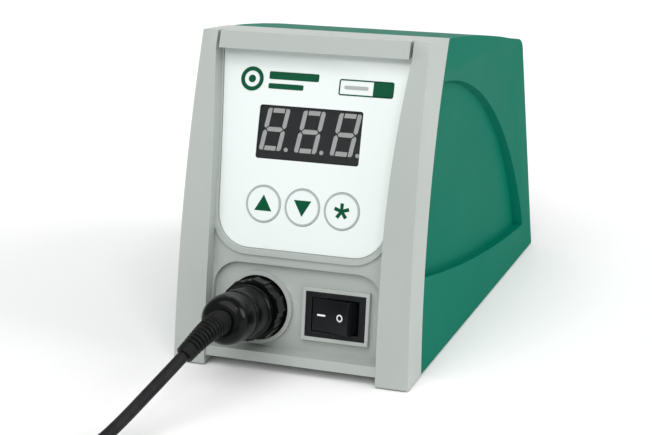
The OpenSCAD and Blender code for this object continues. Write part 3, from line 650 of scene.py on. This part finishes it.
def window(name, colour, tint):
    """A see-through sheet: tint is the share of the light that it stops."""
    f = Finish(name)
    smear = f.noise(6, 3)
    base = f.mix(smear, shade(colour, 0.8), colour)
    return f.surface(Base_Color=base, Alpha=tint + 0.02 * (smear - 0.5), Roughness=0.08 + 0.06 * smear,
                     Normal=f.bump(smear, 0.01, 0.4))


finishes.update({
    "label_film": film("white_label_film", paint(222, 230, 228), 0.22),
    "smoked_window": window("smoked_window", paint(30, 32, 34), 0.22),
    "fuse_glass": window("fuse_glass", paint(205, 214, 214), 0.35),
    "display_segment": ink("unlit_segment", paint(232, 234, 233), 0.6),
})
inks = {
    "green": ink("green_ink", paint(0, 78, 50)),
    "grey": ink("grey_ink", paint(168, 174, 171)),
    "white": ink("white_ink", paint(236, 238, 238)),
}
print("films and inks:", ", ".join(inks))

# %% [markdown]
# ## Rubber, foam and the lead's skin
# Rubber is dull because its surface is rough at a scale too fine to see, and it picks up pale
# dust. A noise with a high threshold makes the dust, and a finer one the skin.

# %% Rubbers


def rubber(name, colour, rough=0.6, skin=0.25, deep=0.02, dust=0.12, shine=0.15):
    f = Finish(name)
    fine = f.noise(skin, 3)
    patch = f.noise(7, 4)
    dusty = (patch > 0.58) * fine * dust
    base = f.mix(dusty, colour, paint(150, 148, 142))
    return f.surface(Base_Color=base, Roughness=rough + 0.2 * (fine - 0.5) + 0.1 * dusty,
                     Normal=f.bump(fine, deep), Specular_IOR_Level=shine)


finishes.update({
    "black_rubber": rubber("boot_rubber", paint(12, 13, 14), rough=0.5, dust=0.03),
    "silicone_lead": rubber("lead_silicone", paint(24, 24, 26), rough=0.5, skin=0.5, deep=0.012, dust=0.03),
    "iron_grip_foam": rubber("grip_foam", paint(18, 118, 92), rough=0.85, skin=0.6, deep=0.12, dust=0.05),
})
print("rubbers: boot, lead, grip")

# %% [markdown]
# ## Metals
# Drawn and turned metal has fine scratches along one direction. Noise stretched a hundred times
# along one axis is a brushed surface, and the same noise drives roughness and bump, so that the
# streaks shine and sink together. Plating adds a faint cloud of tarnish.

# %% Metals


def metal(name, colour, rough, brush=(1, 1, 0.02), tarnish=None, deep=0.004):
    f = Finish(name)
    streak = f.noise(0.25, 3, brush)
    cloud = f.noise(9, 3)
    base = f.mix(cloud * 0.5 + streak * 0.3, colour, tarnish or shade(colour, 0.75))
    return f.surface(Base_Color=base, Metallic=1.0, Normal=f.bump(streak, deep),
                     Roughness=rough + 0.18 * (streak - 0.5) + 0.08 * (cloud - 0.5))


finishes.update({
    "zinc_steel": metal("zinc_plated_steel", paint(188, 190, 192), 0.36, (1, 0.02, 1)),
    "contact_silver": metal("silver_plate", paint(206, 205, 200), 0.24),
    "gold_brass": metal("gold_plate", paint(222, 186, 104), 0.22),
    "stainless": metal("brushed_stainless", paint(196, 196, 194), 0.26, (1, 0.02, 1)),
    "tip_plating": metal("iron_plating", paint(168, 160, 150), 0.34, (1, 0.05, 1), paint(96, 74, 60)),
    "heat_sink_alloy": metal("anodised_alloy", paint(176, 177, 181), 0.42),
})
print("metals done")

# %% [markdown]
# ## Boards, core and winding
# Inside are things with a pattern of their own. A circuit board has straight tracks under green
# lacquer, a transformer core is a pack of half-millimetre sheets, and its coil is wire laid turn
# by turn. A brick pattern and two wave patterns draw them.

# %% Patterned parts


def board(name):
    f = Finish(name)
    tracks = f.node("ShaderNodeTexBrick", {"offset": 0.35}, {
        "Vector": f.place(), "Scale": 260.0, "Mortar Size": 0.035, "Color1": (0, 0, 0, 1),
        "Color2": (0.15, 0.15, 0.15, 1), "Mortar": (1, 1, 1, 1)})
    weave = f.noise(0.3, 2)
    lit = f.mix(weave, paint(16, 92, 52), paint(24, 112, 62))
    base = f.mix(tracks, lit, paint(72, 150, 84))
    return f.surface(Base_Color=base, Roughness=0.28 + 0.1 * weave, Coat_Weight=0.4,
                     Normal=f.bump(tracks + 0.1 * weave, 0.03))


def banded(name, low, high, pitch, axis, metallic, rough, deep):
    """Bands pitch millimetres apart along one axis: sheets of steel, or turns of wire."""
    f = Finish(name)
    bands = f.node("ShaderNodeTexWave", {"wave_type": "BANDS", "bands_direction": axis}, {
        "Vector": f.place(), "Scale": 1000 / pitch / 20 * math.pi, "Distortion": 0.15, "Detail": 1.0})
    spot = f.noise(4, 3)
    base = f.mix(bands * 0.75 + spot * 0.25, low, high)
    return f.surface(Base_Color=base, Metallic=metallic, Roughness=rough + 0.12 * (spot - 0.5),
                     Normal=f.bump(bands, deep))


finishes.update({
    "circuit_board": board("circuit_board"),
    "core_steel": banded("laminated_core", paint(46, 44, 44), paint(104, 100, 98), 0.5, "Y",
                         metallic=0.7, rough=0.5, deep=0.05),
    "copper_winding": banded("enamelled_winding", paint(128, 66, 26), paint(206, 132, 70), 0.45, "Z",
                             metallic=0.9, rough=0.32, deep=0.1),
})
missing = sorted(set(slot_of.values()) - set(finishes))
print("slots without a finish:", missing)

# %% [markdown]
# ## Dressing every part
# Every CAD part takes the finish of its material slot, and every piece made here takes the
# finish of its own slot. The printed marks take the inks.

# %% Assigning finishes


def dress(obj, material):
    if obj.data.materials:
        obj.data.materials[0] = material
    else:
        obj.data.materials.append(material)


for node, obj in nodes.items():
    dress(obj, finishes[slot_of[node]])
for obj in (lead, boot, plug_body, segments, *copies.values()):
    dress(obj, finishes[obj["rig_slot"]])
for obj in bpy.context.scene.objects:
    if obj.name.startswith(("mark_", "circle_")):
        dress(obj, inks["green"])
for name in ("circle_up", "circle_down", "circle_set", "mark_badge_line"):
    dress(bpy.data.objects[name], inks["grey"])
for name in ("mark_on", "mark_off"):
    dress(bpy.data.objects[name], inks["white"])

# %% [markdown]
# ## Floor and light
# A product stands on a pale sweep under large softboxes, so its shadow is soft and close. The
# floor is a sheet that curves up far behind, and the sky is even and pale. Lamps of a given size
# would light the near parts more, so the lights are suns as wide as softboxes: a broad one from
# above and in front, a narrower one from the right for the side, a faint one that fills the
# front, and a small faint one whose glint shows on the plug's cap.

# %% Floor
profile = [(-6.0, 0), (2.4, 0), (3.2, 0.1), (3.9, 0.45), (4.3, 1.1), (4.4, 2.2), (4.4, 5.0)]
sheet = bpy.data.meshes.new("floor")
sheet.from_pydata([(x, y, z) for y, z in profile for x in (-7, 7)],
                  [], [[2 * i, 2 * i + 1, 2 * i + 3, 2 * i + 2] for i in range(len(profile) - 1)])
sheet.shade_smooth()
floor = bpy.data.objects.new("floor", sheet)
bpy.context.scene.collection.objects.link(floor)
f = Finish("pale_floor")
pale, paler = (0.80, 0.80, 0.80, 1), (0.83, 0.83, 0.83, 1)
dress(floor, f.surface(Base_Color=f.mix(f.noise(400, 2), pale, paler), Roughness=0.9))

# %% Light
world = bpy.data.worlds.new("studio")
world.use_nodes = True
sky = world.node_tree.nodes["Background"]
sky.inputs["Color"].default_value = (1.0, 1.0, 1.0, 1)
sky.inputs["Strength"].default_value = 0.5
bpy.context.scene.world = world
bpy.context.scene.view_settings.view_transform = "Standard"


def soft_sun(name, heading, strength, width):
    """A sun from a heading, width degrees across: the wider it is, the softer its shadows."""
    light = bpy.data.lights.new(name, "SUN")
    light.energy = strength
    light.angle = math.radians(width)
    obj = bpy.data.objects.new(name, light)
    bpy.context.scene.collection.objects.link(obj)
    obj.rotation_euler = Vector(heading).to_track_quat("Z", "Y").to_euler()


soft_sun("overhead", (0.0, -0.75, 1), 1.95, 60)
soft_sun("right_side", (0.85, 0.1, 0.42), 1.4, 35)
soft_sun("front_fill", (0.1, -0.95, 0.15), 0.2, 60)
soft_sun("sparkle", (0.5, -0.4, 0.8), 0.25, 9)
print("lights set")
